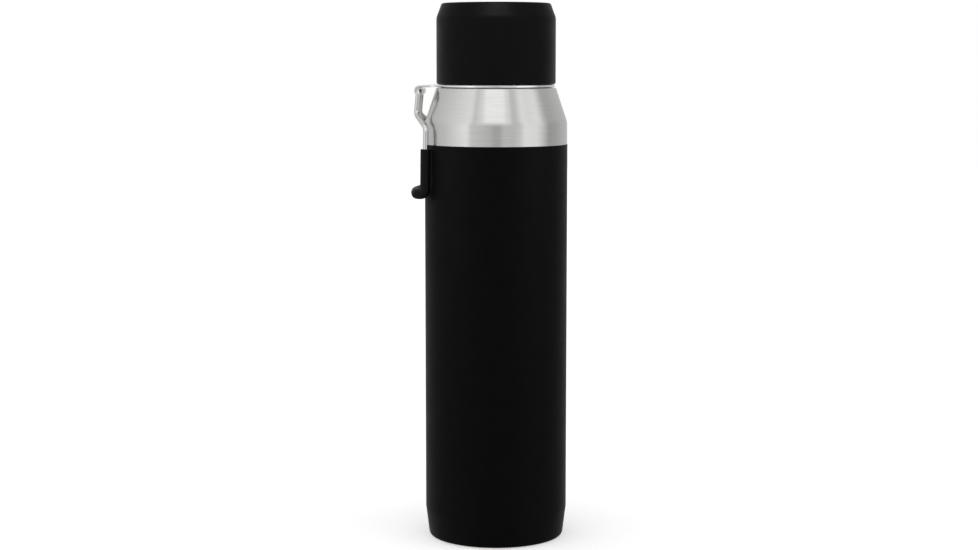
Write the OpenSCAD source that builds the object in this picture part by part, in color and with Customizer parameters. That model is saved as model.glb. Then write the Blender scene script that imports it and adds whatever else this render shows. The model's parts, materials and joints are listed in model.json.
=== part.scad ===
// Slim vacuum growler with a screw lid and a swivelling bail handle.
// Millimetres. +Z is up along the vessel's axis, the origin is the middle of
// the face that it stands on, and the handle hangs on the -X side.

/* [Body] */
// Diameter of the body over its powder coat
body_d = 89; // [88:0.5:92]
// Height of the line where the powder coat ends and bare steel begins
coat_top = 248.1; // [150:0.1:255]
// Thickness of the powder coat
coat_t = 0.2; // [0.1:0.05:0.3]
// Wall of the outer shell
shell_t = 0.6; // [0.5:0.1:0.7]
// Height of the corner between the body and its sloping shoulder
knee_z = 261.8; // [255:0.1:264]
// Slope of the shoulder, away from upright, in degrees
shoulder_slope = 18.5; // [17:0.5:19]
// Height of the flat ledge at the top of the shoulder
ledge_z = 283; // [282:0.5:283]
// Height at which the tapered foot begins
taper_z = 18.8; // [14:0.2:26]
// How far the foot draws in at each side by the time it reaches the ground
taper_in = 2.4; // [1.5:0.1:3]

/* [Neck] */
// Height of the mouth's rim
rim_z = 312.5; // [312.3:0.1:312.5]
// Inner radius of the mouth
mouth_r = 24.7; // [24.6:0.1:24.8]
// Radius of the smooth land that the swivel ring turns on
land_r = 27.92; // [27.92:0.01:27.96]
// Radius of the neck between its threads
thread_root_r = 26.6; // [26.5:0.1:26.7]
// Radius of the crest of the neck's threads
thread_crest_r = 27.8; // [27.6:0.1:27.8]
// Rise of the two-start thread in one full turn
thread_lead = 8; // [7.5:0.5:8.5]

/* [Swivel ring] */
// Outer radius of the flat ring
ring_r = 36.4; // [35.5:0.1:36.6]
// Thickness of the ring's sheet
ring_t = 1.4; // [1.2:0.1:1.5]
// Height of the ring's underside
ring_z = 283.4; // [283.4:0.05:283.5]
// Width of the tongue that carries the handle
tongue_w = 12.6; // [10:0.2:12.6]

/* [Handle] */
// Diameter of the bail's wire
wire_d = 3.5; // [3.2:0.1:3.5]
// Distance of the handle's pivot from the axis of the vessel
pivot_x = 47.5; // [47.4:0.05:47.8]
// Height of the handle's pivot
pivot_z = 281.2; // [281:0.1:281.4]
// Distance between the middles of the two legs at the pivot
neck_gap = 18.4; // [18.4:0.2:20]
// Distance between the middles of the two legs where they hang beside the body
leg_gap = 46.8; // [46.4:0.2:48]
// Radius of the rubber grip
grip_r = 3.2; // [2.9:0.05:3.25]
// Height at which the rubber begins on each leg
grip_top = 245.7; // [235:0.1:250]

/* [Lid] */
// Outer radius of the lid
lid_r = 37.05; // [36.5:0.05:37.5]
// Height of the lid's lower edge
lid_z = 285.1; // [285.1:0.05:285.3]
// Height of the lid's flat top
lid_top = 335; // [333:0.5:345]
// Height of the chamfer's lower edge, measured down from the flat top
chamfer_h = 8.9; // [6:0.1:10]
// Slope of the chamfer, away from upright, in degrees
chamfer_slope = 20.6; // [15:0.1:30]
// Wall of the lid's outer shell
lid_t = 1.4; // [1.2:0.1:1.5]

/* [Hidden] */
$fn = 96;

// Shell, from the steel's outer face inwards
steel_r = body_d / 2 - coat_t;
foot_z = 0.3;
foot_edge_r = 2.5;
taper_blend_r = 8;
knee_r = 12;
ledge_edge_r = 1;
neck_root_r = 0.6;
lip_r = 37;
coat_start_z = foot_z + 0.4;
taper_angle = atan(taper_in / taper_z);
lip_top = foot_z + shell_t;

// Clip groove and the step down to the threads
groove_z = [ring_z + ring_t + 0.15, ring_z + ring_t + 1.35];
groove_r = 27.2;
step_z = [287.6, 288.8];

// Inner liner, inside the vacuum gap
liner_t = 0.6;
vacuum_gap = 2.1;
liner_r = steel_r - shell_t - vacuum_gap;
liner_knee_z = knee_z - (shell_t + vacuum_gap) * tan(shoulder_slope / 2);
liner_knee_r = knee_r - shell_t - vacuum_gap;
liner_ledge_z = ledge_z - 3;
liner_edge_r = 4;
liner_root_r = 3;
liner_bottom_z = 8.5;
liner_joint_z = 15;
liner_neck_z = 248;
liner_corner_r = 6;
foil_gap = 0.1;
foil_t = 0.15;
foil_top = 254;

// Base
recess_r = 35.4;
recess_z = 3.4;
base_rim_r = 39;
base_t = 0.6;
dimple_r = 6;
dimple_h = 1;
vent_r = 1.5;
plug_cap_r = 4.5;
getter_r = 4;
getter_h = 2.5;
getter_x = 20;
pad_r = 35;
pad_edge_r = 0.8;

// Two-start thread: each ridge climbs one lead a turn
thread_starts = 2;
thread_steps = 48;
thread_fade = 6;
ridge_base_half = 1.3;
ridge_crest_half = 0.6;
ridge_embed = 0.3;
neck_thread_z = 295;
neck_thread_turns = 1.5;
lid_thread_turns = 1.25;
thread_pitch = thread_lead / thread_starts;
lid_thread_z = neck_thread_z - thread_lead / 2 + thread_pitch / 2;
lid_root_r = thread_crest_r + 0.4;
lid_crest_r = thread_root_r + 0.4;

// Washer, clip and ring
washer_r = [28.8, 34];
washer_z = [ledge_z + 0.05, ring_z - 0.1];
clip_r = [groove_r + 0.05, 29.9];
clip_z = [groove_z[0] + 0.05, groove_z[1] - 0.05];
clip_opening = 28;
ring_bore_r = 28;
ring_top = ring_z + ring_t;
bend_x = ring_r + 1.1;
tongue_fillet_r = 9;
fillet_overlap = 0.05;
pin_clearance = 0.06;
wire_r = wire_d / 2;
barrel_bore_r = wire_r + pin_clearance;
barrel_r = barrel_bore_r + ring_t;
slit = 0.35;

// Bail: the corners of one leg, from the pivot down, round the body and to the crossbar
crossbar_z = 218.1;
crossbar_turn_in = 2;
leg_corners = [
    [-pivot_x, neck_gap / 2, pivot_z],
    [-48.85, neck_gap / 2, 266.7],
    [-41.9, leg_gap / 2, 259],
    [-42.5, leg_gap / 2, crossbar_z],
    [-47.9, leg_gap / 2 - crossbar_turn_in, crossbar_z]
];
leg_bends = [2.6, 4, 5, 3.3, 3.5];
crossbar_middle = [-50.3, 0, crossbar_z];
crossbar_bend = 60;
bend_step = 22.5;
least_steps = 3;
rod_sides = 24;
side_reference = [1, 0, -0.6];
grip_edge = 0.5;

// Lid
chamfer_z = lid_top - chamfer_h;
lid_knee_r = 3;
lid_edge_r = 1.6;
lid_lip_r = 1.3;
lid_foam_gap = 0.1;
skirt_r = 30.8;
skirt_z = 287.3;
flange_t = 1.6;
deck_z = rim_z + 1.7;
deck_t = 1.6;
plug_r = 24.2;
plug_t = 1.6;
plug_z = 294.6;
cover_t = 1.4;
gasket_r = [plug_r + 0.1, thread_crest_r - 0.2];
gasket_z = [rim_z + 0.05, deck_z - 0.05];

// ---- Outlines ----

function reversed(list) = [for (i = [len(list) - 1:-1:0]) list[i]];

// Points along an arc, from angle a0 to angle a1
function arc(centre, r, a0, a1, n = 8) =
    [for (i = [0:n]) centre + r * [cos(a0 + (a1 - a0) * i / n), sin(a0 + (a1 - a0) * i / n)]];

// Middle of the arc that rounds a wall of radius r into a slope starting at z
function knee_centre(r, z, round_r, slope) = [r - round_r, z - round_r * tan(slope / 2)];

// Middle of the arc that rounds that slope into a flat top
function edge_centre(r, z, top, round_r, slope) =
    [r - (round_r + sin(slope) * (top - round_r - z)) / cos(slope), top - round_r];

// A wall that turns into a slope and then a flat top, t under its outer face
function sloped_top(r, z, round_r, slope, top, edge_r, t) = concat(
    arc(knee_centre(r, z, round_r, slope), round_r - t, 0, slope),
    arc(edge_centre(r, z, top, edge_r, slope), edge_r - t, slope, 90)
);

// The corner where a flat top of height z meets an upright neck of radius r
function neck_root(r, z, round_r, t) = arc([r + round_r, z + round_r], round_r + t, 270, 180, 6);

// The tapered foot, t under the steel's outer face
function foot_side(t) =
    let (
        blend = [steel_r - taper_blend_r, taper_z + taper_blend_r * tan(taper_angle / 2)],
        edge_z = foot_z + foot_edge_r,
        edge_x = steel_r - (foot_edge_r + sin(taper_angle) * (taper_z - edge_z)) / cos(taper_angle)
    )
    concat(
        arc([edge_x, edge_z], foot_edge_r - t, -90, -taper_angle),
        arc(blend, taper_blend_r - t, -taper_angle, 0)
    );

// The neck above the ledge, with the clip's groove, t under its outer face
function neck_side(t) = [
    [land_r - t, groove_z[0] - t],
    [groove_r - t, groove_z[0] - t],
    [groove_r - t, groove_z[1] + t],
    [land_r - t, groove_z[1] + t],
    [land_r - t, step_z[0]],
    [thread_root_r - t, step_z[1]],
    [thread_root_r - t, rim_z - liner_t]
];

function shell_side(t) = concat(
    [[lip_r, foot_z + t]],
    foot_side(t),
    sloped_top(steel_r, knee_z, knee_r, shoulder_slope, ledge_z, ledge_edge_r, t),
    neck_root(land_r, ledge_z, neck_root_r, t),
    neck_side(t)
);

function liner_side(t) = concat(
    [[liner_r - t, liner_neck_z]],
    sloped_top(liner_r, liner_knee_z, liner_knee_r, shoulder_slope, liner_ledge_z, liner_edge_r, t),
    neck_root(mouth_r + liner_t, liner_ledge_z, liner_root_r, t)
);

function lid_side(t) =
    sloped_top(lid_r, chamfer_z, lid_knee_r, chamfer_slope, lid_top, lid_edge_r, t);

// ---- Building blocks ----

// Upright tube between two heights, given its inner and outer radius
module tube(radii, heights) {
    translate([0, 0, heights[0]])
        difference() {
            cylinder(h = heights[1] - heights[0], r = radii[1]);
            translate([0, 0, -1])
                cylinder(h = heights[1] - heights[0] + 2, r = radii[0]);
        }
}

module disc(r, heights) {
    translate([0, 0, heights[0]])
        cylinder(h = heights[1] - heights[0], r = r);
}

// A ridge of the thread, from the wall at base_r to its crest; both ends fade out
module thread_ridge(base_r, crest_r, start_z, turns, start_angle) {
    steps = turns * thread_steps;
    rings = [
        for (i = [0:steps])
            let (
                a = start_angle + 360 * i / thread_steps,
                z = start_z + thread_lead * i / thread_steps,
                fade = max(0.15, min(1, i / thread_fade, (steps - i) / thread_fade)),
                tip = base_r + (crest_r - base_r) * fade
            )
            [for (q = [[base_r, -ridge_base_half], [tip, -ridge_crest_half],
                       [tip, ridge_crest_half], [base_r, ridge_base_half]])
                [q[0] * cos(a), q[0] * sin(a), z + q[1]]]
    ];
    sides = [
        for (i = [0:steps - 1])
            for (j = [0:3])
                let (a = 4 * i + j, b = 4 * i + (j + 1) % 4)
                each [[a, b + 4, b], [a, a + 4, b + 4]]
    ];
    last = 4 * steps;
    ends = [[0, 1, 2], [0, 2, 3], [last, last + 2, last + 1], [last, last + 3, last + 2]];
    outward = concat(sides, ends);
    polyhedron(
        points = [for (ring = rings) each ring],
        faces = crest_r > base_r ? [for (f = outward) reversed(f)] : outward
    );
}

module threads(base_r, crest_r, start_z, turns) {
    for (k = [0:thread_starts - 1])
        thread_ridge(base_r, crest_r, start_z, turns, 360 * k / thread_starts);
}

function unit(v) = v / norm(v);

// Stations along the bend of a rod that runs from a through the corner p to b.
// A station is a point of the rod's middle line and the direction there.
function bend_stations(a, p, b, bend_r) =
    let (
        along = unit(p - a),
        after = unit(b - p),
        angle = acos(along * after),
        centre = p + unit(after - along) * bend_r / cos(angle / 2),
        out = unit(p - along * bend_r * tan(angle / 2) - centre),
        steps = max(least_steps, ceil(angle / bend_step))
    )
    [for (i = [0:steps])
        let (t = angle * i / steps)
        [centre + bend_r * (out * cos(t) + along * sin(t)), along * cos(t) - out * sin(t)]];

// The bail's whole route: down one leg, across, and up the other
bail_corners = concat(
    leg_corners,
    [crossbar_middle],
    [for (c = reversed(leg_corners)) [c[0], -c[1], c[2]]]
);
bail_bends = concat(leg_bends, [crossbar_bend], reversed(leg_bends));
bail_n = len(bail_corners);
bail_stations = [
    for (i = [0:bail_n - 1])
        each bend_stations(
            bail_corners[(i + bail_n - 1) % bail_n],
            bail_corners[i],
            bail_corners[(i + 1) % bail_n],
            bail_bends[i]
        )
];

// Points round a rod of radius r at one station
function around(station, r) =
    let (
        side = unit(cross(station[1], side_reference)),
        up = cross(station[1], side)
    )
    [for (i = [0:rod_sides - 1])
        let (a = 360 * i / rod_sides)
        station[0] + r * (side * cos(a) + up * sin(a))];

// Closed surface through a loop of rings; from ring number inner on, each
// face is split the other way, so that a bore matches the rod inside it
module ring_loop(rings, inner) {
    n = len(rings);
    polyhedron(
        points = [for (ring = rings) each ring],
        faces = [
            for (i = [0:n - 1])
                for (j = [0:rod_sides - 1])
                    let (
                        next_i = (i + 1) % n,
                        next_j = (j + 1) % rod_sides,
                        a = i * rod_sides + j,
                        b = i * rod_sides + next_j,
                        c = next_i * rod_sides + next_j,
                        d = next_i * rod_sides + j
                    )
                    each i < inner ? [[a, d, c], [a, c, b]] : [[a, d, b], [b, d, c]]
        ]
    );
}

// ---- Vessel ----

module outer_shell() {
    color("silver")
        union() {
            rotate_extrude()
                polygon(concat(shell_side(0), reversed(shell_side(shell_t))));
            threads(thread_root_r - ridge_embed, thread_crest_r, neck_thread_z, neck_thread_turns);
        }
}

module powder_coat() {
    skin = [for (p = foot_side(-coat_t)) if (p[1] > coat_start_z) p];
    steel = [for (p = foot_side(0)) if (p[1] > coat_start_z) p];
    color([0.04, 0.04, 0.04])
        rotate_extrude()
            polygon(concat(
                skin,
                [[steel_r + coat_t, coat_top], [steel_r, coat_top]],
                reversed(steel)
            ));
}

module vacuum_base() {
    rise = recess_z - lip_top;
    under = [
        [vent_r, recess_z + dimple_h],
        [dimple_r, recess_z + dimple_h],
        [dimple_r + dimple_h, recess_z],
        [recess_r, recess_z],
        [recess_r + rise / 2, lip_top],
        [base_rim_r, lip_top]
    ];
    color("silver")
        rotate_extrude()
            polygon(concat(under, [for (p = reversed(under)) p + [0, base_t]]));
}

module vacuum_plug() {
    color([0.5, 0.6, 0.5])
        union() {
            disc(vent_r - 0.05, [recess_z + dimple_h - 0.1, recess_z + dimple_h + base_t]);
            disc(plug_cap_r, [recess_z + 0.2, recess_z + dimple_h - 0.05]);
        }
}

module getter() {
    color("gray")
        translate([getter_x, 0, 0])
            disc(getter_r, [recess_z + base_t + 0.05, recess_z + base_t + getter_h]);
}

module foot_pad() {
    color([0.1, 0.1, 0.1])
        rotate_extrude()
            polygon(concat(
                [[0, 0]],
                arc([pad_r - pad_edge_r, pad_edge_r], pad_edge_r, -90, 0, 5),
                [[pad_r, recess_z - 0.1], [0, recess_z - 0.1]]
            ));
}

module inner_liner() {
    color("silver")
        tube([liner_r - liner_t, liner_r], [liner_joint_z, liner_neck_z]);
}

// The drawn shoulder and neck, butt-welded to the liner's straight wall
module liner_neck() {
    neck_r = mouth_r + liner_t;
    lip = [[neck_r, rim_z - liner_t], [thread_root_r, rim_z - liner_t], [thread_root_r, rim_z]];
    color("silver")
        rotate_extrude()
            polygon(concat(liner_side(0), lip, [[mouth_r, rim_z]], reversed(liner_side(liner_t))));
}

module liner_base() {
    middle = [liner_r - liner_corner_r, liner_bottom_z + liner_corner_r];
    color("silver")
        rotate_extrude()
            polygon(concat(
                [[0, liner_bottom_z]],
                arc(middle, liner_corner_r, -90, 0),
                [[liner_r, liner_joint_z], [liner_r - liner_t, liner_joint_z]],
                arc(middle, liner_corner_r - liner_t, 0, -90),
                [[0, liner_bottom_z + liner_t]]
            ));
}

module radiation_foil() {
    color([0.75, 0.45, 0.3])
        tube([liner_r + foil_gap, liner_r + foil_gap + foil_t], [liner_joint_z + 1, foil_top]);
}

module ring_washer() {
    color([0.1, 0.1, 0.1])
        tube(washer_r, washer_z);
}

module retaining_clip() {
    color("gray")
        rotate([0, 0, clip_opening / 2])
            rotate_extrude(angle = 360 - clip_opening)
                translate([clip_r[0], clip_z[0]])
                    square([clip_r[1] - clip_r[0], clip_z[1] - clip_z[0]]);
}

// ---- Swivel ring ----

// Plan of the tongue, with concave rounding where each side runs into the ring
module tongue_plan() {
    half = tongue_w / 2;
    reach = ring_r + tongue_fillet_r - fillet_overlap;
    centre = [
        -sqrt(reach * reach - pow(half + tongue_fillet_r, 2)),
        half + tongue_fillet_r
    ];
    a0 = atan2(-centre[1], -centre[0]);
    side = arc(centre, tongue_fillet_r, a0, -90);
    upper = concat(side, [[-pivot_x - barrel_r - 1, half]]);
    polygon(concat(
        [[-ring_bore_r, 0]],
        upper,
        [for (p = reversed(upper)) [p[0], -p[1]]]
    ));
}

// Side view of the tongue: it slopes down a little and curls round the wire
module tongue_profile() {
    run = pivot_x - bend_x;
    drop = ring_top - pivot_z;
    reach = norm([run, drop]);
    slope = atan(drop / run) - asin(barrel_r / reach);
    sheet = sqrt(reach * reach - barrel_r * barrel_r);
    inner_x = -(ring_bore_r + ring_r) / 2;
    tip = [-bend_x, ring_top] - sheet * [cos(slope), sin(slope)];
    difference() {
        union() {
            polygon([
                [inner_x, ring_z],
                [inner_x, ring_top],
                [-bend_x, ring_top],
                tip,
                tip + ring_t * [sin(slope), -cos(slope)],
                [-bend_x + ring_t * tan(slope / 2), ring_z]
            ]);
            translate([-pivot_x, pivot_z])
                circle(r = barrel_r);
        }
        translate([-pivot_x, pivot_z])
            circle(r = barrel_bore_r);
        translate([-pivot_x, pivot_z])
            rotate(slope)
                translate([0, barrel_bore_r - slit])
                    square([barrel_r + 1, slit]);
    }
}

module swivel_ring() {
    color("silver")
        difference() {
            union() {
                disc(ring_r, [ring_z, ring_top]);
                intersection() {
                    linear_extrude(height = lid_top)
                        tongue_plan();
                    translate([0, ring_r, 0])
                        rotate([90, 0, 0])
                            linear_extrude(height = 2 * ring_r)
                                tongue_profile();
                }
            }
            disc(ring_bore_r, [ring_z - 1, ring_top + 1]);
        }
}

// ---- Handle ----

module bail_wire() {
    color("silver")
        ring_loop([for (s = bail_stations) around(s, wire_r)], len(bail_stations));
}

// The rubber covers the route from one leg's sleeve to the other's
module bail_grip() {
    upper = leg_corners[2];
    lower = leg_corners[3];
    down = unit(lower - upper);
    top = lower + (upper - lower) * (grip_top - lower[2]) / (upper[2] - lower[2]);
    covered = [for (s = bail_stations) if (s[0][2] < grip_top - 1) s];
    leg_ends = [[top, down], [top + down * grip_edge, down]];
    far_ends = [for (s = leg_ends) [[s[0][0], -s[0][1], s[0][2]], -s[1]]];
    outer = concat(
        [around(leg_ends[0], grip_r - grip_edge), around(leg_ends[1], grip_r)],
        [for (s = covered) around(s, grip_r)],
        [around(far_ends[1], grip_r), around(far_ends[0], grip_r - grip_edge)]
    );
    bore = [for (s = concat([leg_ends[0]], covered, [far_ends[0]])) around(s, wire_r)];
    color([0.12, 0.12, 0.12])
        ring_loop(concat(outer, reversed(bore)), len(outer));
}

// ---- Lid ----

module lid_gasket() {
    color("white")
        tube(gasket_r, gasket_z);
}

module lid_shell() {
    lip_mid = [lid_r - lid_lip_r, lid_z + lid_lip_r];
    color([0.06, 0.06, 0.06])
        rotate_extrude()
            polygon(concat(
                [[lid_r - lid_t, lid_z]],
                arc(lip_mid, lid_lip_r, -90, 0, 5),
                lid_side(0),
                [[0, lid_top], [0, lid_top - lid_t]],
                reversed(lid_side(lid_t))
            ));
}

module lid_liner() {
    wall_r = lid_r - lid_t - lid_foam_gap;
    color([0.15, 0.15, 0.15])
        union() {
            difference() {
                disc(skirt_r, [skirt_z, deck_z + deck_t]);
                disc(lid_root_r, [skirt_z - 1, deck_z]);
            }
            tube([skirt_r - 0.5, wall_r], [skirt_z, skirt_z + flange_t]);
            tube([plug_r - plug_t, plug_r], [plug_z + cover_t, deck_z + deck_t / 2]);
            threads(lid_root_r + ridge_embed, lid_crest_r, lid_thread_z, lid_thread_turns);
        }
}

module lid_foam() {
    inset = lid_t + lid_foam_gap;
    floor_z = skirt_z + flange_t + 0.1;
    color([0.9, 0.85, 0.7])
        difference() {
            rotate_extrude()
                polygon(concat(
                    [[0, floor_z], [lid_r - inset, floor_z]],
                    lid_side(inset),
                    [[0, lid_top - inset]]
                ));
            disc(skirt_r + 0.1, [floor_z - 1, deck_z + deck_t + 0.1]);
        }
}

module plug_foam() {
    color([0.9, 0.85, 0.7])
        disc(plug_r - plug_t - 0.1, [plug_z + cover_t + 0.1, deck_z - 0.1]);
}

module plug_cover() {
    color([0.15, 0.15, 0.15])
        rotate_extrude()
            polygon(concat(
                [[0, plug_z]],
                arc([plug_r - cover_t / 2, plug_z + cover_t / 2], cover_t / 2, -90, 0, 5),
                [[plug_r, plug_z + cover_t], [0, plug_z + cover_t]]
            ));
}

outer_shell();
powder_coat();
vacuum_base();
vacuum_plug();
getter();
foot_pad();
inner_liner();
liner_neck();
liner_base();
radiation_foil();
ring_washer();
retaining_clip();
swivel_ring();
bail_wire();
bail_grip();
lid_gasket();
lid_shell();
lid_liner();
lid_foam();
plug_foam();
plug_cover();
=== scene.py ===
"""Looks of the slim vacuum growler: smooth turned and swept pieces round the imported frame.

Sizes are millimetres until add() turns a piece into metres. Radii and heights that the frame knows
are read from it, and the small ones that it doesn't know are named below. The studio is in metres.
"""
import json
import math

import bmesh
import bpy
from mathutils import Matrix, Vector


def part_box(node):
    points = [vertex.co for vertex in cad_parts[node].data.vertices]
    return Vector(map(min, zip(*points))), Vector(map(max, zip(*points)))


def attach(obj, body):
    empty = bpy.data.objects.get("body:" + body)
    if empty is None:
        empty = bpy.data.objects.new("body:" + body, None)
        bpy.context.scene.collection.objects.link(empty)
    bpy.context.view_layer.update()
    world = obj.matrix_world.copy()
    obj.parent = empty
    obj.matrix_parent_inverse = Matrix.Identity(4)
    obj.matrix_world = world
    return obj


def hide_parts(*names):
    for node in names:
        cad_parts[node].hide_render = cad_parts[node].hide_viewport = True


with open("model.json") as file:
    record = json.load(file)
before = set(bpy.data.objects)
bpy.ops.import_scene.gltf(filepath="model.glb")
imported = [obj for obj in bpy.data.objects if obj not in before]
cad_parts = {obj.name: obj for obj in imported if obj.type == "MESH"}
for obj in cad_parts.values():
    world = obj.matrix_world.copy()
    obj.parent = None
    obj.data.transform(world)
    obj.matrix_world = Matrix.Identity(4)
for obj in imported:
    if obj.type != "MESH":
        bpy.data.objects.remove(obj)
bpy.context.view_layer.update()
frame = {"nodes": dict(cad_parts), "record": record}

MM = 0.001
SEGMENTS = 256

# ---- Sizes read from the frame ----


def low(node, axis):
    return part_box(node)[0][axis] / MM


def high(node, axis):
    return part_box(node)[1][axis] / MM


X, Y, Z = 0, 1, 2
# Clearances under the washer and under the ring
WASHER_GAP = 0.05
RING_GAP = 0.1
COAT_R = high("powder_coat", X)
COAT_TOP = high("powder_coat", Z)
STEEL_R = high("outer_shell", X)
FOOT_Z = low("outer_shell", Z)
LEDGE_Z = low("ring_washer", Z) - WASHER_GAP
RIM_Z = high("liner_neck", Z)
LINER_R = high("inner_liner", X)
LINER_JOINT_Z = low("inner_liner", Z)
LINER_NECK_Z = low("liner_neck", Z)
LINER_BOTTOM_Z = low("liner_base", Z)
RING_R = high("swivel_ring", X)
RING_TOP = high("swivel_ring", Z)
RING_Z = high("ring_washer", Z) + RING_GAP
LID_R = high("lid_shell", X)
LID_Z = low("lid_shell", Z)
LID_TOP = high("lid_shell", Z)
SKIRT_Z = low("lid_liner", Z)
DECK_TOP = high("lid_liner", Z)
PLUG_R = high("plug_cover", X)
PLUG_Z = low("plug_cover", Z)
COVER_TOP = high("plug_cover", Z)
PAD_R = high("foot_pad", X)
PAD_TOP = high("foot_pad", Z)
GASKET_R = high("lid_gasket", X)
GASKET_Z = (low("lid_gasket", Z), high("lid_gasket", Z))
CLIP_R = high("retaining_clip", Y)
CLIP_Z = (low("retaining_clip", Z), high("retaining_clip", Z))
WASHER_R = high("ring_washer", X)
WIRE_R = 1.75
LEG_Y = high("bail_wire", Y) - WIRE_R
TONGUE_HALF = 6.3
PIVOT = (-47.5, 281.2)

# ---- Shapes that the frame's boxes don't tell ----

SHELL_T = 0.6
TAPER_Z = 18.8
TAPER_IN = 2.4
TAPER_ANGLE = math.atan(TAPER_IN / TAPER_Z)
TAPER_BLEND_R = 8.0
FOOT_EDGE_R = 2.5
COAT_EDGE_R = 0.12
# How far the coat starts above the foot, and how far its back is sunk into the steel
COAT_START = 0.4
COAT_SINK = 0.02
PAD_EDGE_R = 0.8
PAD_GROOVE_R = 24.0
PAD_GROOVE_W = 1.2
PAD_GROOVE_FLANK = 0.3
PAD_GROOVE_D = 0.5
LIP_R = 37.0
KNEE_Z = 261.8
KNEE_R = 12.0
SHOULDER = math.radians(18.5)
LEDGE_EDGE_R = 1.0
NECK_ROOT_R = 0.6
LAND_R = 27.92
GROOVE_R = 27.2
CLIP_GAP = 0.05
GROOVE_Z = (CLIP_Z[0] - CLIP_GAP, CLIP_Z[1] + CLIP_GAP)
CLIP_OPENING = math.radians(28)
CLIP_EDGE_R = 0.15
CLIP_SEGMENTS = 192
WASHER_BORE_R = 28.8
WASHER_T = 0.25
WASHER_EDGE_R = 0.08
STEP_Z = (287.6, 288.8)
THREAD_ROOT_R = 26.6
THREAD_CREST_R = 27.8
THREAD_LEAD = 8.0
THREAD_PITCH = THREAD_LEAD / 2
THREAD_HALF = 1.15
THREAD_FLANK = 0.6
THREAD_FADE = 0.6
THREAD_ROW = 0.25
# Start height and number of turns
NECK_THREAD = (295.0, 1.5)
LID_THREAD = (NECK_THREAD[0] - THREAD_PITCH / 2, 1.25)
MOUTH_R = 24.7
LINER_T = 0.6
LINER_LEDGE_Z = LEDGE_Z - 3.0
LINER_EDGE_R = 4.0
LINER_ROOT_R = 3.0
LINER_CORNER_R = 6.0
RIM_ROLL_R = 0.25
CHAMFER_H = 8.9
CHAMFER = math.radians(20.6)
LID_KNEE_R = 8.0
LID_EDGE_R = 1.6
LID_LIP_R = 1.3
LID_T = 1.4
LID_FOAM_GAP = 0.1
LID_ROOT_R = THREAD_CREST_R + 0.4
LID_CREST_R = THREAD_ROOT_R + 0.4
SKIRT_R = 30.8
FLANGE_T = 1.6
DECK_T = 1.6
PLUG_T = 1.6
PLUG_EDGE_R = 0.7
GASKET_GAP = 0.1
GASKET_EDGE_R = 0.3


# ---- Outlines: lists of (radius, height) ----


def arc(centre, r, a0, a1, n=12):
    """Points along an arc in the outline's plane, angles in radians."""
    steps = [a0 + (a1 - a0) * i / n for i in range(n + 1)]
    return [(centre[0] + r * math.cos(a), centre[1] + r * math.sin(a)) for a in steps]


UP = math.pi / 2


def sloped_top(r, z, round_r, slope, top, edge_r, t):
    """A wall that rounds into a slope and then into a flat top, t under its outer face."""
    knee = (r - round_r, z - round_r * math.tan(slope / 2))
    edge = (r - (edge_r + math.sin(slope) * (top - edge_r - z)) / math.cos(slope), top - edge_r)
    return arc(knee, round_r - t, 0, slope) + arc(edge, edge_r - t, slope, UP)


def foot_side(t):
    """The tapered foot, t under the steel's outer face."""
    blend = (STEEL_R - TAPER_BLEND_R, TAPER_Z + TAPER_BLEND_R * math.tan(TAPER_ANGLE / 2))
    edge_z = FOOT_Z + FOOT_EDGE_R
    inset = (FOOT_EDGE_R + math.sin(TAPER_ANGLE) * (TAPER_Z - edge_z)) / math.cos(TAPER_ANGLE)
    lower = arc((STEEL_R - inset, edge_z), FOOT_EDGE_R - t, -UP, -TAPER_ANGLE, 16)
    return lower + arc(blend, TAPER_BLEND_R - t, -TAPER_ANGLE, 0)


def neck_side(t):
    root = THREAD_ROOT_R - t
    top = RIM_Z - LINER_T
    plain = [
        (LAND_R - t, GROOVE_Z[0] - t),
        (GROOVE_R - t, GROOVE_Z[0] - t),
        (GROOVE_R - t, GROOVE_Z[1] + t),
        (LAND_R - t, GROOVE_Z[1] + t),
        (LAND_R - t, STEP_Z[0]),
        (root, STEP_Z[1]),
    ]
    if t:
        return plain + [(root, top)]
    rows = int((top - STEP_Z[1]) / THREAD_ROW)
    return plain + [(root, STEP_Z[1] + (top - STEP_Z[1]) * i / rows) for i in range(1, rows + 1)]


def shell_side(t):
    shoulder = sloped_top(STEEL_R, KNEE_Z, KNEE_R, SHOULDER, LEDGE_Z, LEDGE_EDGE_R, t)
    root = arc((LAND_R + NECK_ROOT_R, LEDGE_Z + NECK_ROOT_R), NECK_ROOT_R + t, 3 * UP, 2 * UP, 6)
    return [(LIP_R, FOOT_Z + t)] + foot_side(t) + shoulder + root + neck_side(t)


def liner_side(t):
    gap = STEEL_R - LINER_R
    knee_z = KNEE_Z - gap * math.tan(SHOULDER / 2)
    shoulder = sloped_top(LINER_R, knee_z, KNEE_R - gap, SHOULDER, LINER_LEDGE_Z, LINER_EDGE_R, t)
    middle = (MOUTH_R + LINER_T + LINER_ROOT_R, LINER_LEDGE_Z + LINER_ROOT_R)
    root = arc(middle, LINER_ROOT_R + t, 3 * UP, 2 * UP)
    return [(LINER_R - t, LINER_NECK_Z)] + shoulder + root


def lid_side(t):
    return sloped_top(LID_R, LID_TOP - CHAMFER_H, LID_KNEE_R, CHAMFER, LID_TOP, LID_EDGE_R, t)


def rounded_band(inner, outer, bottom, top, r):
    """Outline of a flat ring or tube with all four edges rounded by r."""
    return (
        arc((outer - r, bottom + r), r, -UP, 0, 4)
        + arc((outer - r, top - r), r, 0, UP, 4)
        + arc((inner + r, top - r), r, UP, 2 * UP, 4)
        + arc((inner + r, bottom + r), r, 2 * UP, 3 * UP, 4)
    )


# ---- Mesh makers ----


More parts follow.
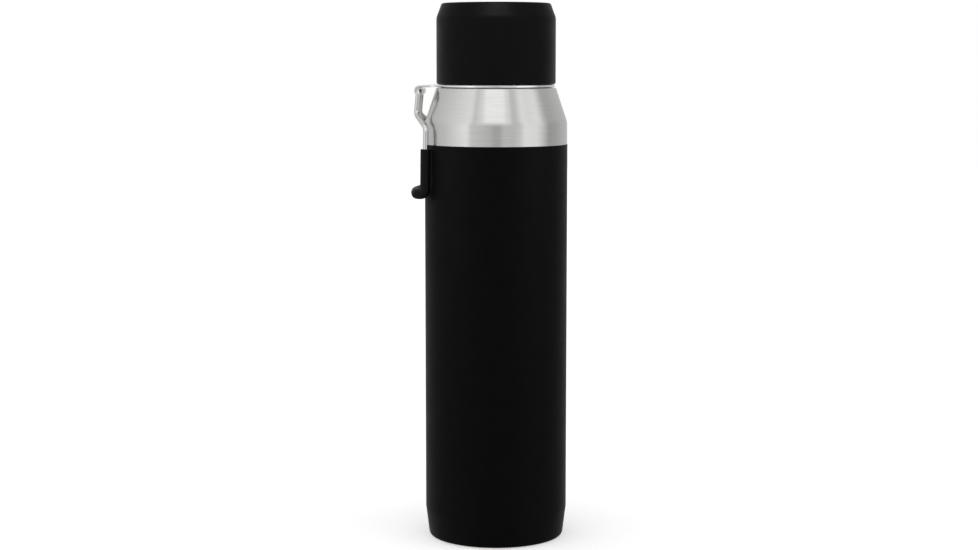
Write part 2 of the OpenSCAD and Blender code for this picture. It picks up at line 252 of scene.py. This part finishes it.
def add(node, body, slot, bm, sharp=30):
    """Turns a bmesh in millimetres into the piece that stands for one CAD node.

    Edges under sharp degrees are shaded smooth.
    """
    name = node + "_piece"
    bmesh.ops.scale(bm, vec=(MM, MM, MM), verts=bm.verts)
    bmesh.ops.recalc_face_normals(bm, faces=bm.faces)
    mesh = bpy.data.meshes.new(name)
    bm.to_mesh(mesh)
    bm.free()
    mesh.shade_smooth()
    mesh.set_sharp_from_angle(angle=math.radians(sharp))
    piece = bpy.data.objects.new(name, mesh)
    bpy.context.scene.collection.objects.link(piece)
    mesh.materials.append(MATERIALS[slot])
    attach(piece, body)
    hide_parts(node)


def lathe(outline, segments=SEGMENTS, warp=None, turn=2 * math.pi, start=0.0):
    """A solid turned round the vertical axis from a closed outline.

    warp(r, z, angle) gives a new radius, for threads. A turn of less than a
    whole one leaves a gap, with flat ends.
    """
    whole = turn >= 2 * math.pi - 1e-9
    columns = segments if whole else segments + 1
    bm = bmesh.new()
    rings = []
    for r, z in outline:
        if r < 1e-6:
            rings.append([bm.verts.new((0, 0, z))] * columns)
            continue
        ring = []
        for i in range(columns):
            a = start + turn * i / segments
            radius = warp(r, z, a) if warp else r
            ring.append(bm.verts.new((radius * math.cos(a), radius * math.sin(a), z)))
        rings.append(ring)
    for j, ring in enumerate(rings):
        other = rings[(j + 1) % len(rings)]
        for i in range(segments):
            k = (i + 1) % columns
            corners = []
            for v in (ring[i], ring[k], other[k], other[i]):
                if v not in corners:
                    corners.append(v)
            if len(corners) > 2:
                bm.faces.new(corners)
    if not whole:
        bm.faces.new([ring[0] for ring in rings])
        bm.faces.new([ring[-1] for ring in reversed(rings)])
    return bm


def ridge_height(z, angle, thread, height):
    """How far the two-start thread stands off its wall at this height and angle."""
    start_z, turns = thread
    best = 0.0
    for k in (0, math.pi):
        for wrap in range(-1, 3):
            along = angle - k + wrap * 2 * math.pi
            total = turns * 2 * math.pi
            if not 0 <= along <= total:
                continue
            away = abs(z - start_z - THREAD_LEAD * along / (2 * math.pi))
            side = min(1.0, max(0.0, (THREAD_HALF - away) / THREAD_FLANK))
            fade = min(1.0, along / THREAD_FADE, (total - along) / THREAD_FADE)
            # Smoothstep flanks, running out at both ends
            best = max(best, height * side * side * (3 - 2 * side) * max(fade, 0.0))
    return best


def neck_warp(r, z, angle):
    if abs(r - THREAD_ROOT_R) > 1e-6 or z < STEP_Z[1]:
        return r
    return r + ridge_height(z, angle, NECK_THREAD, THREAD_CREST_R - THREAD_ROOT_R)


def skirt_warp(r, z, angle):
    if abs(r - LID_ROOT_R) > 1e-6:
        return r
    return r - ridge_height(z, angle, LID_THREAD, LID_ROOT_R - LID_CREST_R)


def skin(bm, rings, closed=False):
    """Faces through rings of points: a closed loop, or a run with flat ends."""
    loops = [[bm.verts.new(p) for p in ring] for ring in rings]
    following = loops[1:] + loops[:1] if closed else loops[1:]
    for ring, after in zip(loops, following):
        for i in range(len(ring)):
            k = (i + 1) % len(ring)
            bm.faces.new((ring[i], ring[k], after[k], after[i]))
    if not closed:
        bm.faces.new(list(reversed(loops[0])))
        bm.faces.new(loops[-1])
    return bm


def circle(r, n=40):
    return [(r * math.cos(2 * math.pi * i / n), r * math.sin(2 * math.pi * i / n)) for i in range(n)]


# ---- The bail's route ----

PIVOT_Y = 9.2
CROSSBAR_Z = 218.1
LEG_CORNERS = [
    (PIVOT[0], PIVOT_Y, PIVOT[1]),
    (-48.85, PIVOT_Y, 266.7),
    (-41.9, LEG_Y, 259.0),
    (-42.5, LEG_Y, CROSSBAR_Z),
    (-47.9, LEG_Y - 2.0, CROSSBAR_Z),
]
LEG_BENDS = [2.6, 4.0, 5.0, 3.3, 3.5]
CROSSBAR_MIDDLE = (-50.3, 0.0, CROSSBAR_Z)
CROSSBAR_BEND = 60.0
BEND_STEP = math.radians(5)
GRIP_R = 3.17
GRIP_EDGE = 0.5
GRIP_EDGE_STEPS = 6
# The sleeve follows the wire's own route from this far under its rounded end
GRIP_ROUTE_START = 1
GRIP_TOP = high("bail_grip", Z)
# A direction that the route never runs along
REFERENCE = Vector((1, 0, -0.6))


def bend(a, p, b, bend_r):
    """(point, tangent) pairs round the rounded corner at p."""
    along = (p - a).normalized()
    after = (b - p).normalized()
    angle = along.angle(after)
    centre = p + (after - along).normalized() * bend_r / math.cos(angle / 2)
    out = (p - along * bend_r * math.tan(angle / 2) - centre).normalized()
    steps = math.ceil(angle / BEND_STEP)
    pairs = []
    for i in range(steps + 1):
        t = angle * i / steps
        point = centre + bend_r * (out * math.cos(t) + along * math.sin(t))
        pairs.append((point, along * math.cos(t) - out * math.sin(t)))
    return pairs


def bail_route():
    """The whole loop: down one leg, across, and up the other."""
    down = [Vector(c) for c in LEG_CORNERS]
    up = [Vector((x, -y, z)) for x, y, z in reversed(LEG_CORNERS)]
    corners = down + [Vector(CROSSBAR_MIDDLE)] + up
    bends = LEG_BENDS + [CROSSBAR_BEND] + LEG_BENDS[::-1]
    route = []
    for i, p in enumerate(corners):
        route += bend(corners[i - 1], p, corners[(i + 1) % len(corners)], bends[i])
    return route


def rod_ring(p, t, r):
    """Points round a rod of radius r where its middle line passes p in direction t."""
    across = t.cross(REFERENCE).normalized()
    other = t.cross(across)
    return [p + across * a + other * b for a, b in circle(r)]


# ---- Material helpers ----


def new_material(name, colour, roughness, metallic=0.0, specular=0.5):
    material = bpy.data.materials.new(name)
    material.use_nodes = True
    shader = material.node_tree.nodes["Principled BSDF"]
    shader.inputs["Base Color"].default_value = (*colour, 1)
    shader.inputs["Roughness"].default_value = roughness
    shader.inputs["Metallic"].default_value = metallic
    shader.inputs["Specular IOR Level"].default_value = specular
    return material, shader


def noise(material, size_mm, detail=3.0, stretch=(1, 1, 1)):
    """Noise whose features are about size_mm across, longer along an axis with a small stretch."""
    nodes, links = material.node_tree.nodes, material.node_tree.links
    place = nodes.new("ShaderNodeTexCoord")
    mapping = nodes.new("ShaderNodeMapping")
    texture = nodes.new("ShaderNodeTexNoise")
    mapping.inputs["Scale"].default_value = stretch
    texture.inputs["Scale"].default_value = 1 / (size_mm * MM)
    texture.inputs["Detail"].default_value = detail
    links.new(place.outputs["Object"], mapping.inputs["Vector"])
    links.new(mapping.outputs["Vector"], texture.inputs["Vector"])
    return texture.outputs["Fac"]


# Nearly all of a noise texture's values lie between these
NOISE_LOW, NOISE_HIGH = 0.3, 0.7


def spread(material, value, low_end, high_end):
    """Maps noise onto a range of numbers."""
    node = material.node_tree.nodes.new("ShaderNodeMapRange")
    node.inputs["From Min"].default_value = NOISE_LOW
    node.inputs["From Max"].default_value = NOISE_HIGH
    node.inputs["To Min"].default_value = low_end
    node.inputs["To Max"].default_value = high_end
    material.node_tree.links.new(value, node.inputs["Value"])
    return node.outputs["Result"]


def shade(colour, factor):
    return [min(1.0, c * factor) for c in colour]


def vary_colour(material, shader, value, colour, dark, light):
    """Lets noise move the colour between dark times and light times itself."""
    node = material.node_tree.nodes.new("ShaderNodeMix")
    node.data_type = "RGBA"
    node.inputs["A"].default_value = (*shade(colour, dark), 1)
    node.inputs["B"].default_value = (*shade(colour, light), 1)
    links = material.node_tree.links
    links.new(spread(material, value, 0, 1), node.inputs["Factor"])
    links.new(node.outputs["Result"], shader.inputs["Base Color"])


def vary_roughness(material, shader, value, low_end, high_end):
    material.node_tree.links.new(spread(material, value, low_end, high_end), shader.inputs["Roughness"])


def bump(material, shader, value, depth_mm):
    node = material.node_tree.nodes.new("ShaderNodeBump")
    node.inputs["Distance"].default_value = depth_mm * MM
    links = material.node_tree.links
    links.new(value, node.inputs["Height"])
    links.new(node.outputs["Normal"], shader.inputs["Normal"])


# ---- Materials ----


def powder_coat(name, colour, roughness, specular, sheen):
    """Matte powder coat: fine orange peel, slow changes of gloss, lighter at grazing angles."""
    material, shader = new_material(name, colour, roughness, specular=specular)
    shader.inputs["Sheen Weight"].default_value = sheen
    shader.inputs["Sheen Roughness"].default_value = 0.3
    vary_colour(material, shader, noise(material, size_mm=9, detail=4), colour, 0.85, 1.2)
    gloss = noise(material, size_mm=14, detail=5)
    vary_roughness(material, shader, gloss, roughness - 0.04, roughness + 0.06)
    bump(material, shader, noise(material, size_mm=0.35, detail=2), 0.012)
    return material


def brushed_steel(name, colour, roughness, line_mm=0.22, anisotropic=0.85):
    """Steel brushed round the vertical axis: long thin lines, glints drawn out up and down."""
    material, shader = new_material(name, colour, roughness, metallic=1.0)
    lines = noise(material, size_mm=line_mm, detail=2, stretch=(0.02, 0.02, 1))
    streaks = noise(material, size_mm=line_mm * 1.7, detail=3, stretch=(0.03, 0.03, 1))
    vary_colour(material, shader, streaks, colour, 0.96, 1.03)
    vary_roughness(material, shader, lines, roughness - 0.03, roughness + 0.04)
    bump(material, shader, lines, 0.0018)
    shader.inputs["Anisotropic"].default_value = anisotropic
    shader.inputs["Anisotropic Rotation"].default_value = 0.25
    tangent = material.node_tree.nodes.new("ShaderNodeTangent")
    tangent.direction_type = "RADIAL"
    tangent.axis = "Z"
    material.node_tree.links.new(tangent.outputs["Tangent"], shader.inputs["Tangent"])
    return material


def polished_steel(name, colour, roughness):
    """Polished steel with faint scratches and slow changes of polish."""
    material, shader = new_material(name, colour, roughness, metallic=1.0)
    vary_colour(material, shader, noise(material, size_mm=2.5, detail=4), colour, 0.95, 1.03)
    gloss = noise(material, size_mm=1.2, detail=6)
    vary_roughness(material, shader, gloss, roughness * 0.7, roughness * 1.5)
    bump(material, shader, noise(material, size_mm=0.5, detail=4, stretch=(1, 0.1, 1)), 0.001)
    return material


def moulded(name, colour, roughness, grain_mm, depth_mm, specular=0.5):
    """Moulded rubber or plastic with a fine grain."""
    material, shader = new_material(name, colour, roughness, specular=specular)
    vary_colour(material, shader, noise(material, size_mm=4, detail=4), colour, 0.85, 1.2)
    gloss = noise(material, size_mm=3, detail=4)
    vary_roughness(material, shader, gloss, roughness - 0.06, roughness + 0.08)
    bump(material, shader, noise(material, size_mm=grain_mm, detail=3), depth_mm)
    return material


def foam(name, colour):
    """Rigid foam: pale, with open pores."""
    material, shader = new_material(name, colour, 0.95, specular=0.2)
    vary_colour(material, shader, noise(material, size_mm=1.2, detail=5), colour, 0.7, 1.1)
    bump(material, shader, noise(material, size_mm=0.8, detail=4), 0.25)
    return material


def silicone(name, colour):
    material, shader = new_material(name, colour, 0.4)
    shader.inputs["Subsurface Weight"].default_value = 0.3
    shader.inputs["Subsurface Scale"].default_value = 1.5 * MM
    vary_roughness(material, shader, noise(material, size_mm=2, detail=4), 0.34, 0.5)
    bump(material, shader, noise(material, size_mm=0.4, detail=2), 0.006)
    return material


def seal_glass(name, colour):
    material, shader = new_material(name, colour, 0.12)
    vary_colour(material, shader, noise(material, size_mm=1.5, detail=4), colour, 0.7, 1.2)
    bump(material, shader, noise(material, size_mm=1, detail=3), 0.02)
    return material


MATERIALS = {
    "bare_steel": brushed_steel("bare_steel", (0.62, 0.617, 0.61), 0.22),
    "coat": powder_coat("coat", (0.0012, 0.0012, 0.0013), 0.54, 0.035, 0.075),
    "hidden_steel": brushed_steel("hidden_steel", (0.5, 0.5, 0.49), 0.35, 0.5),
    "liner_steel": polished_steel("liner_steel", (0.6, 0.595, 0.58), 0.28),
    "seal_glass": seal_glass("seal_glass", (0.25, 0.33, 0.27)),
    "getter_metal": moulded("getter_metal", (0.2, 0.2, 0.21), 0.7, 0.3, 0.03),
    "pad_rubber": moulded("pad_rubber", (0.018, 0.018, 0.018), 0.75, 0.4, 0.02, 0.3),
    "copper_foil": polished_steel("copper_foil", (0.72, 0.38, 0.24), 0.2),
    "nylon": moulded("nylon", (0.01, 0.01, 0.01), 0.55, 0.5, 0.006),
    "clip_steel": polished_steel("clip_steel", (0.4, 0.4, 0.4), 0.3),
    "ring_steel": polished_steel("ring_steel", (0.82, 0.815, 0.8), 0.13),
    "wire_steel": polished_steel("wire_steel", (0.66, 0.655, 0.645), 0.07),
    "grip_rubber": moulded("grip_rubber", (0.002, 0.002, 0.0021), 0.5, 0.35, 0.012, 0.12),
    "silicone": silicone("silicone", (0.75, 0.75, 0.72)),
    "lid_coat": powder_coat("lid_coat", (0.0014, 0.0014, 0.0015), 0.46, 0.06, 0.075),
    "lid_plastic": moulded("lid_plastic", (0.014, 0.014, 0.015), 0.42, 0.5, 0.006),
    "foam": foam("foam", (0.74, 0.62, 0.38)),
}


# ---- Vessel ----


def outer_shell():
    outline = shell_side(0) + shell_side(SHELL_T)[::-1]
    add("outer_shell", "vessel", "bare_steel", lathe(outline, warp=neck_warp))


def coat():
    t = COAT_R - STEEL_R
    lowest = FOOT_Z + COAT_START
    face = [p for p in foot_side(-t) if p[1] > lowest]
    face += arc((COAT_R - COAT_EDGE_R, COAT_TOP - COAT_EDGE_R), COAT_EDGE_R, 0, UP, 4)
    steel = [p for p in foot_side(0.0) if p[1] > lowest]
    back = [(STEEL_R - COAT_SINK, COAT_TOP)] + [(r - COAT_SINK, z) for r, z in reversed(steel)]
    add("powder_coat", "vessel", "coat", lathe(face + back))


def foot_pad():
    groove_out = PAD_GROOVE_R + PAD_GROOVE_W
    outline = [
        (0, 0),
        (PAD_GROOVE_R, 0),
        (PAD_GROOVE_R + PAD_GROOVE_FLANK, PAD_GROOVE_D),
        (groove_out - PAD_GROOVE_FLANK, PAD_GROOVE_D),
        (groove_out, 0),
    ]
    outline += arc((PAD_R - PAD_EDGE_R, PAD_EDGE_R), PAD_EDGE_R, -UP, 0, 8)
    outline += [(PAD_R, PAD_TOP), (0, PAD_TOP)]
    add("foot_pad", "vessel", "pad_rubber", lathe(outline))


def inner_liner():
    inner = LINER_R - LINER_T
    outer_wall = [(LINER_R, LINER_JOINT_Z), (LINER_R, LINER_NECK_Z)]
    inner_wall = [(inner, LINER_NECK_Z), (inner, LINER_JOINT_Z)]
    add("inner_liner", "vessel", "liner_steel", lathe(outer_wall + inner_wall))


def liner_neck():
    """The drawn shoulder and neck, butt-welded to the liner's straight wall."""
    top = RIM_Z - LINER_T
    lip = [(MOUTH_R + LINER_T, top), (THREAD_ROOT_R, top)]
    lip += arc((THREAD_ROOT_R - RIM_ROLL_R, RIM_Z - RIM_ROLL_R), RIM_ROLL_R, 0, UP, 6)
    lip += arc((MOUTH_R + RIM_ROLL_R, RIM_Z - RIM_ROLL_R), RIM_ROLL_R, UP, 2 * UP, 6)
    outline = liner_side(0) + lip + liner_side(LINER_T)[::-1]
    add("liner_neck", "vessel", "liner_steel", lathe(outline))


def liner_base():
    middle = (LINER_R - LINER_CORNER_R, LINER_BOTTOM_Z + LINER_CORNER_R)
    outline = [(0, LINER_BOTTOM_Z)] + arc(middle, LINER_CORNER_R, -UP, 0)
    outline += [(LINER_R, LINER_JOINT_Z), (LINER_R - LINER_T, LINER_JOINT_Z)]
    outline += arc(middle, LINER_CORNER_R - LINER_T, 0, -UP) + [(0, LINER_BOTTOM_Z + LINER_T)]
    add("liner_base", "vessel", "liner_steel", lathe(outline))


def washer_and_clip():
    washer_top = RING_Z - RING_GAP
    band = rounded_band(WASHER_BORE_R, WASHER_R, washer_top - WASHER_T, washer_top, WASHER_EDGE_R)
    add("ring_washer", "vessel", "nylon", lathe(band))
    clip = rounded_band(GROOVE_R + CLIP_GAP, CLIP_R, *CLIP_Z, CLIP_EDGE_R)
    piece = lathe(clip, CLIP_SEGMENTS, turn=2 * math.pi - CLIP_OPENING, start=CLIP_OPENING / 2)
    add("retaining_clip", "vessel", "clip_steel", piece)


# ---- Swivel ring ----

RING_BORE_R = 28.0
RING_SEGMENTS = 384
SHEET_T = RING_TOP - RING_Z
# The tongue stays level this far past the ring's edge
TONGUE_LEVEL = 1.1
BEND_X = RING_R + TONGUE_LEVEL
# Above this height the tongue has its flared width, and below it the plain one
FLARE_BOTTOM = PIVOT[1] + 1
TONGUE_FILLET_R = 9.0
TONGUE_ROOT_X = 32.0
TONGUE_EDGE = 0.3
# How far the tongue's hidden root stays inside the ring's edge and under its faces
ROOT_INSET = 0.05
ROOT_THIN = 0.02
# The gap between the wire and the sheet that is curled round it, and how far the sheet curls
CURL_GAP = 0.06
CURL_END = math.radians(294)
# Points along the tongue's level part, its slope and its curl
LEVEL_STEPS, SLOPE_STEPS, CURL_STEPS = 24, 16, 60


def tongue_half(x):
    """Half the tongue's width at this distance from the axis: it flares where it runs into the ring."""
    centre_y = TONGUE_HALF + TONGUE_FILLET_R
    centre_x = math.sqrt((RING_R + TONGUE_FILLET_R) ** 2 - centre_y**2)
    away = max(centre_x - x, 0)
    flared = centre_y - math.sqrt(max(TONGUE_FILLET_R**2 - away**2, 0))
    if x > centre_x * RING_R / (RING_R + TONGUE_FILLET_R):
        return flared
    return min(flared, math.sqrt(RING_R**2 - x**2) - ROOT_INSET)


def tongue_path():
    """The middle of the tongue's sheet: outwards, a little down, then curled round the wire."""
    curl_r = WIRE_R + CURL_GAP + SHEET_T / 2
    run, drop = -PIVOT[0] - BEND_X, RING_TOP - PIVOT[1]
    reach = math.hypot(run, drop)
    outer = curl_r + SHEET_T / 2
    slope = math.atan(drop / run) - math.asin(outer / reach)
    level = RING_TOP - SHEET_T / 2
    length = BEND_X - TONGUE_ROOT_X
    points = [(-TONGUE_ROOT_X - length * i / LEVEL_STEPS, level) for i in range(LEVEL_STEPS + 1)]
    start = (PIVOT[0] - curl_r * math.sin(slope), PIVOT[1] + curl_r * math.cos(slope))
    for i in range(1, SLOPE_STEPS):
        part = i / SLOPE_STEPS
        points.append((-BEND_X + (start[0] + BEND_X) * part, level + (start[1] - level) * part))
    for i in range(CURL_STEPS + 1):
        a = UP + slope + CURL_END * i / CURL_STEPS
        points.append((PIVOT[0] + curl_r * math.cos(a), PIVOT[1] + curl_r * math.sin(a)))
    return [Vector((x, 0, z)) for x, z in points]


def path_tangents(points):
    ends = [points[0]] + points + [points[-1]]
    return [(ends[i + 2] - ends[i]).normalized() for i in range(len(points))]


def rounded_rectangle(half_w, half_h, r):
    corners = [(1, 1, 0), (-1, 1, UP), (-1, -1, 2 * UP), (1, -1, 3 * UP)]
    loop = []
    for sx, sy, a in corners:
        loop += arc((sx * (half_w - r), sy * (half_h - r)), r, a, a + UP, 5)
    return loop


def swivel_ring():
    bm = lathe(rounded_band(RING_BORE_R, RING_R, RING_Z, RING_TOP, TONGUE_EDGE), RING_SEGMENTS)
    points = tongue_path()
    rings = []
    for p, t in zip(points, path_tangents(points)):
        half_w = tongue_half(-p.x) if p.z > FLARE_BOTTOM else TONGUE_HALF
        thin = ROOT_THIN if -p.x < RING_R else 0.0
        across = t.cross(Vector((0, 1, 0)))
        section = rounded_rectangle(half_w, SHEET_T / 2 - thin, TONGUE_EDGE)
        rings.append([p + Vector((0, w, 0)) + across * h for w, h in section])
    add("swivel_ring", "ring", "ring_steel", skin(bm, rings))


# ---- Handle ----


def bail_wire():
    rings = [rod_ring(p, t, WIRE_R) for p, t in bail_route()]
    add("bail_wire", "handle", "wire_steel", skin(bmesh.new(), rings, closed=True))


def grip_rings():
    """(point, tangent, radius) down one sleeve, along the crossbar and up the other sleeve."""
    upper, lower = Vector(LEG_CORNERS[2]), Vector(LEG_CORNERS[3])
    down = (lower - upper).normalized()
    top = lower + (upper - lower) * (GRIP_TOP - lower.z) / (upper.z - lower.z)
    edge = []
    for i in range(GRIP_EDGE_STEPS + 1):
        a = UP * i / GRIP_EDGE_STEPS
        depth, inset = GRIP_EDGE * (1 - math.sin(a)), GRIP_EDGE * (1 - math.cos(a))
        edge.append((depth, GRIP_R - inset))
    first = [(top + down * depth, down, r) for depth, r in reversed(edge)]
    middle = [(p, t, GRIP_R) for p, t in bail_route() if p.z < GRIP_TOP - GRIP_ROUTE_START]
    last = [(Vector((p.x, -p.y, p.z)), -t, r) for p, t, r in reversed(first)]
    return first + middle + last


def bail_grip():
    """Rubber moulded round the loop's lower end, as one smooth skin."""
    rings = [rod_ring(p, t, r) for p, t, r in grip_rings()]
    add("bail_grip", "handle", "grip_rubber", skin(bmesh.new(), rings), sharp=50)


# ---- Lid ----


def lid_shell():
    lip = arc((LID_R - LID_LIP_R, LID_Z + LID_LIP_R), LID_LIP_R, -UP, 0, 8)
    outline = [(LID_R - LID_T, LID_Z)] + lip + lid_side(0)
    outline += [(0, LID_TOP), (0, LID_TOP - LID_T)] + lid_side(LID_T)[::-1]
    add("lid_shell", "lid", "lid_coat", lathe(outline))


def lid_liner():
    wall_r = LID_R - LID_T - LID_FOAM_GAP
    flange_top = SKIRT_Z + FLANGE_T
    deck_z = DECK_TOP - DECK_T
    plug_in = PLUG_R - PLUG_T
    rows = int((deck_z - SKIRT_Z) / THREAD_ROW)
    skirt = [(LID_ROOT_R, SKIRT_Z + (deck_z - SKIRT_Z) * i / rows) for i in range(rows + 1)]
    deck = [(0, DECK_TOP), (SKIRT_R, DECK_TOP)]
    flange = [(SKIRT_R, flange_top), (wall_r, flange_top), (wall_r, SKIRT_Z)]
    plug = [(PLUG_R, deck_z), (PLUG_R, COVER_TOP), (plug_in, COVER_TOP), (plug_in, deck_z), (0, deck_z)]
    add("lid_liner", "lid", "lid_plastic", lathe(deck + flange + skirt + plug, warp=skirt_warp))


def lid_gasket():
    band = rounded_band(PLUG_R + GASKET_GAP, GASKET_R, *GASKET_Z, GASKET_EDGE_R)
    add("lid_gasket", "seal", "silicone", lathe(band))


def plug_cover():
    rounding = arc((PLUG_R - PLUG_EDGE_R, PLUG_Z + PLUG_EDGE_R), PLUG_EDGE_R, -UP, 0, 8)
    outline = [(0, PLUG_Z)] + rounding + [(PLUG_R, COVER_TOP), (0, COVER_TOP)]
    add("plug_cover", "lid", "lid_plastic", lathe(outline))


# ---- CAD nodes that stay ----


def finish_cad_nodes():
    """Gives the nodes that aren't replaced their slot's material."""
    slots = {row["node"]: row["material_slot"] for row in frame["record"]["subparts"]}
    for node in ("vacuum_base", "vacuum_plug", "getter", "radiation_foil", "lid_foam", "plug_foam"):
        piece = frame["nodes"][node]
        piece.data.materials.clear()
        piece.data.materials.append(MATERIALS[slots[node]])


# ---- Studio ----


FLOOR_GAP = 0.0001
FLOOR_HALF = 4.0
FLOOR_WHITE = (0.97, 0.97, 0.97)
FLOOR_GLOW = 0.3


def floor():
    bm = bmesh.new()
    bmesh.ops.create_grid(bm, x_segments=2, y_segments=2, size=FLOOR_HALF)
    mesh = bpy.data.meshes.new("floor")
    bm.to_mesh(mesh)
    bm.free()
    piece = bpy.data.objects.new("floor", mesh)
    bpy.context.scene.collection.objects.link(piece)
    material, shader = new_material("floor", FLOOR_WHITE, 0.9, specular=0.0)
    shader.inputs["Emission Color"].default_value = (1, 1, 1, 1)
    shader.inputs["Emission Strength"].default_value = FLOOR_GLOW
    mesh.materials.append(material)
    piece.visible_glossy = False
    piece.location.z = -FLOOR_GAP


CAMERA_PLACE = (0.05711, -1.17412, 0.30187)
CAMERA_TURN = 3.0
CAMERA_TILT = 6.61
CAMERA_LENS = 69.23
TENT_STRENGTH = 1.3
# The tent's level ring of panels fades into the high one between these heights
LEVEL_END = math.radians(8)
HIGH_START = math.radians(20)

# Brightness of the studio's walls by bearing, as the camera sees them: -180 is behind the growler,
# -90 left, 0 the camera's side, 90 right. The first ring of panels stands level with it, and the
# second hangs above.
LEVEL_PANELS = [
    (-180, 0.62), (-120, 0.66), (-90, 0.78), (-48, 1.2), (-43, 0.84), (-10, 0.62), (-2, 0.48),
    (6, 0.5), (12, 0.72), (26, 0.7), (41, 0.88), (46, 1.14), (70, 1.08), (86, 0.7), (94, 0.46),
    (118, 0.55), (132, 0.62), (180, 0.62),
]
HIGH_PANELS = [
    (-180, 0.64), (-120, 0.76), (-90, 0.88), (-45, 1.13), (-40, 0.77), (-37, 0.78), (-31, 1.02),
    (-24, 1.08), (0, 1.08), (24, 1.08), (30, 0.7), (37, 0.78), (48, 1.17), (59, 1.03), (79, 1.17),
    (87, 0.84), (96, 0.58), (110, 0.57), (128, 0.65), (180, 0.64),
]


def panels(nodes, links, bearing, stops):
    """A ring of soft panels: brightness by bearing."""
    ramp = nodes.new("ShaderNodeValToRGB")
    links.new(bearing, ramp.inputs["Fac"])
    elements = ramp.color_ramp.elements
    while len(elements) > 1:
        elements.remove(elements[-1])
    for i, (degrees, value) in enumerate(stops):
        place = min(max(degrees + CAMERA_TURN, -180) + 180, 360) / 360
        stop = elements[0] if i == 0 else elements.new(place)
        stop.position = place
        grey = value / TENT_STRENGTH
        stop.color = (grey, grey, grey, 1)
    return ramp.outputs["Color"]


def studio_world():
    """A soft light tent with walls of uneven brightness, where the camera sees plain white."""
    world = bpy.data.worlds.new("studio")
    bpy.context.scene.world = world
    world.use_nodes = True
    nodes, links = world.node_tree.nodes, world.node_tree.links
    nodes.clear()
    place = nodes.new("ShaderNodeTexCoord")
    split = nodes.new("ShaderNodeSeparateXYZ")
    links.new(place.outputs["Generated"], split.inputs[0])
    flip = nodes.new("ShaderNodeMath")
    flip.operation = "MULTIPLY"
    flip.inputs[1].default_value = -1
    links.new(split.outputs["Y"], flip.inputs[0])
    bearing = nodes.new("ShaderNodeMath")
    bearing.operation = "ARCTAN2"
    links.new(split.outputs["X"], bearing.inputs[0])
    links.new(flip.outputs[0], bearing.inputs[1])
    scaled = nodes.new("ShaderNodeMapRange")
    scaled.inputs["From Min"].default_value = -math.pi
    scaled.inputs["From Max"].default_value = math.pi
    links.new(bearing.outputs[0], scaled.inputs["Value"])
    height = nodes.new("ShaderNodeMapRange")
    height.inputs["From Min"].default_value = math.sin(LEVEL_END)
    height.inputs["From Max"].default_value = math.sin(HIGH_START)
    links.new(split.outputs["Z"], height.inputs["Value"])
    blend = nodes.new("ShaderNodeMix")
    blend.data_type = "RGBA"
    links.new(height.outputs["Result"], blend.inputs["Factor"])
    links.new(panels(nodes, links, scaled.outputs["Result"], LEVEL_PANELS), blend.inputs["A"])
    links.new(panels(nodes, links, scaled.outputs["Result"], HIGH_PANELS), blend.inputs["B"])
    tent = nodes.new("ShaderNodeBackground")
    tent.inputs["Strength"].default_value = TENT_STRENGTH
    links.new(blend.outputs["Result"], tent.inputs["Color"])
    white = nodes.new("ShaderNodeBackground")
    white.inputs["Color"].default_value = (1, 1, 1, 1)
    path = nodes.new("ShaderNodeLightPath")
    mix = nodes.new("ShaderNodeMixShader")
    out = nodes.new("ShaderNodeOutputWorld")
    links.new(path.outputs["Is Camera Ray"], mix.inputs["Fac"])
    links.new(tent.outputs[0], mix.inputs[1])
    links.new(white.outputs[0], mix.inputs[2])
    links.new(mix.outputs[0], out.inputs["Surface"])


def softbox(name, place, target, size, power):
    lamp = bpy.data.lights.new(name, "AREA")
    lamp.shape = "RECTANGLE"
    lamp.size, lamp.size_y = size
    lamp.energy = power
    piece = bpy.data.objects.new(name, lamp)
    bpy.context.scene.collection.objects.link(piece)
    piece.location = place
    piece.rotation_euler = (Vector(target) - Vector(place)).to_track_quat("-Z", "Y").to_euler()
    return piece


def only_on(lamp, *names):
    """Links the lamp to these pieces, so that it lights nothing else."""
    lit = bpy.data.collections.new(lamp.name + "_lit")
    for name in names:
        lit.objects.link(bpy.data.objects[name])
    lamp.light_linking.receiver_collection = lit


def lights():
    """A weak key, a lamp that only the lid sees, and two at the sides that only the coat sees."""
    softbox("key", (0.0, -1.35, 1.25), (0, 0, 0.27), size=(0.95, 0.6), power=0.6)
    lid_light = softbox("lid_light", (0.05, -0.98, 1.3), (0, 0, 0.33), size=(0.8, 0.3), power=12)
    only_on(lid_light, "lid_shell_piece")
    for name, side in (("left_light", -1), ("right_light", 1)):
        place = (side * 0.72, -0.26, 0.66)
        lamp = softbox(name, place, (0, 0, 0.24), size=(0.25, 0.3), power=3.8)
        only_on(lamp, "powder_coat_piece")


def camera():
    data = bpy.data.cameras.new("camera")
    data.sensor_width = 36.0
    data.lens = CAMERA_LENS
    piece = bpy.data.objects.new("camera", data)
    bpy.context.scene.collection.objects.link(piece)
    piece.location = CAMERA_PLACE
    piece.rotation_euler = (math.radians(90 - CAMERA_TILT), 0, math.radians(CAMERA_TURN))
    bpy.context.scene.camera = piece


camera()
outer_shell()
coat()
foot_pad()
inner_liner()
liner_neck()
liner_base()
washer_and_clip()
swivel_ring()
bail_wire()
bail_grip()
lid_shell()
lid_liner()
lid_gasket()
plug_cover()
finish_cad_nodes()
floor()
studio_world()
lights()
bpy.context.scene.view_settings.view_transform = "Standard"
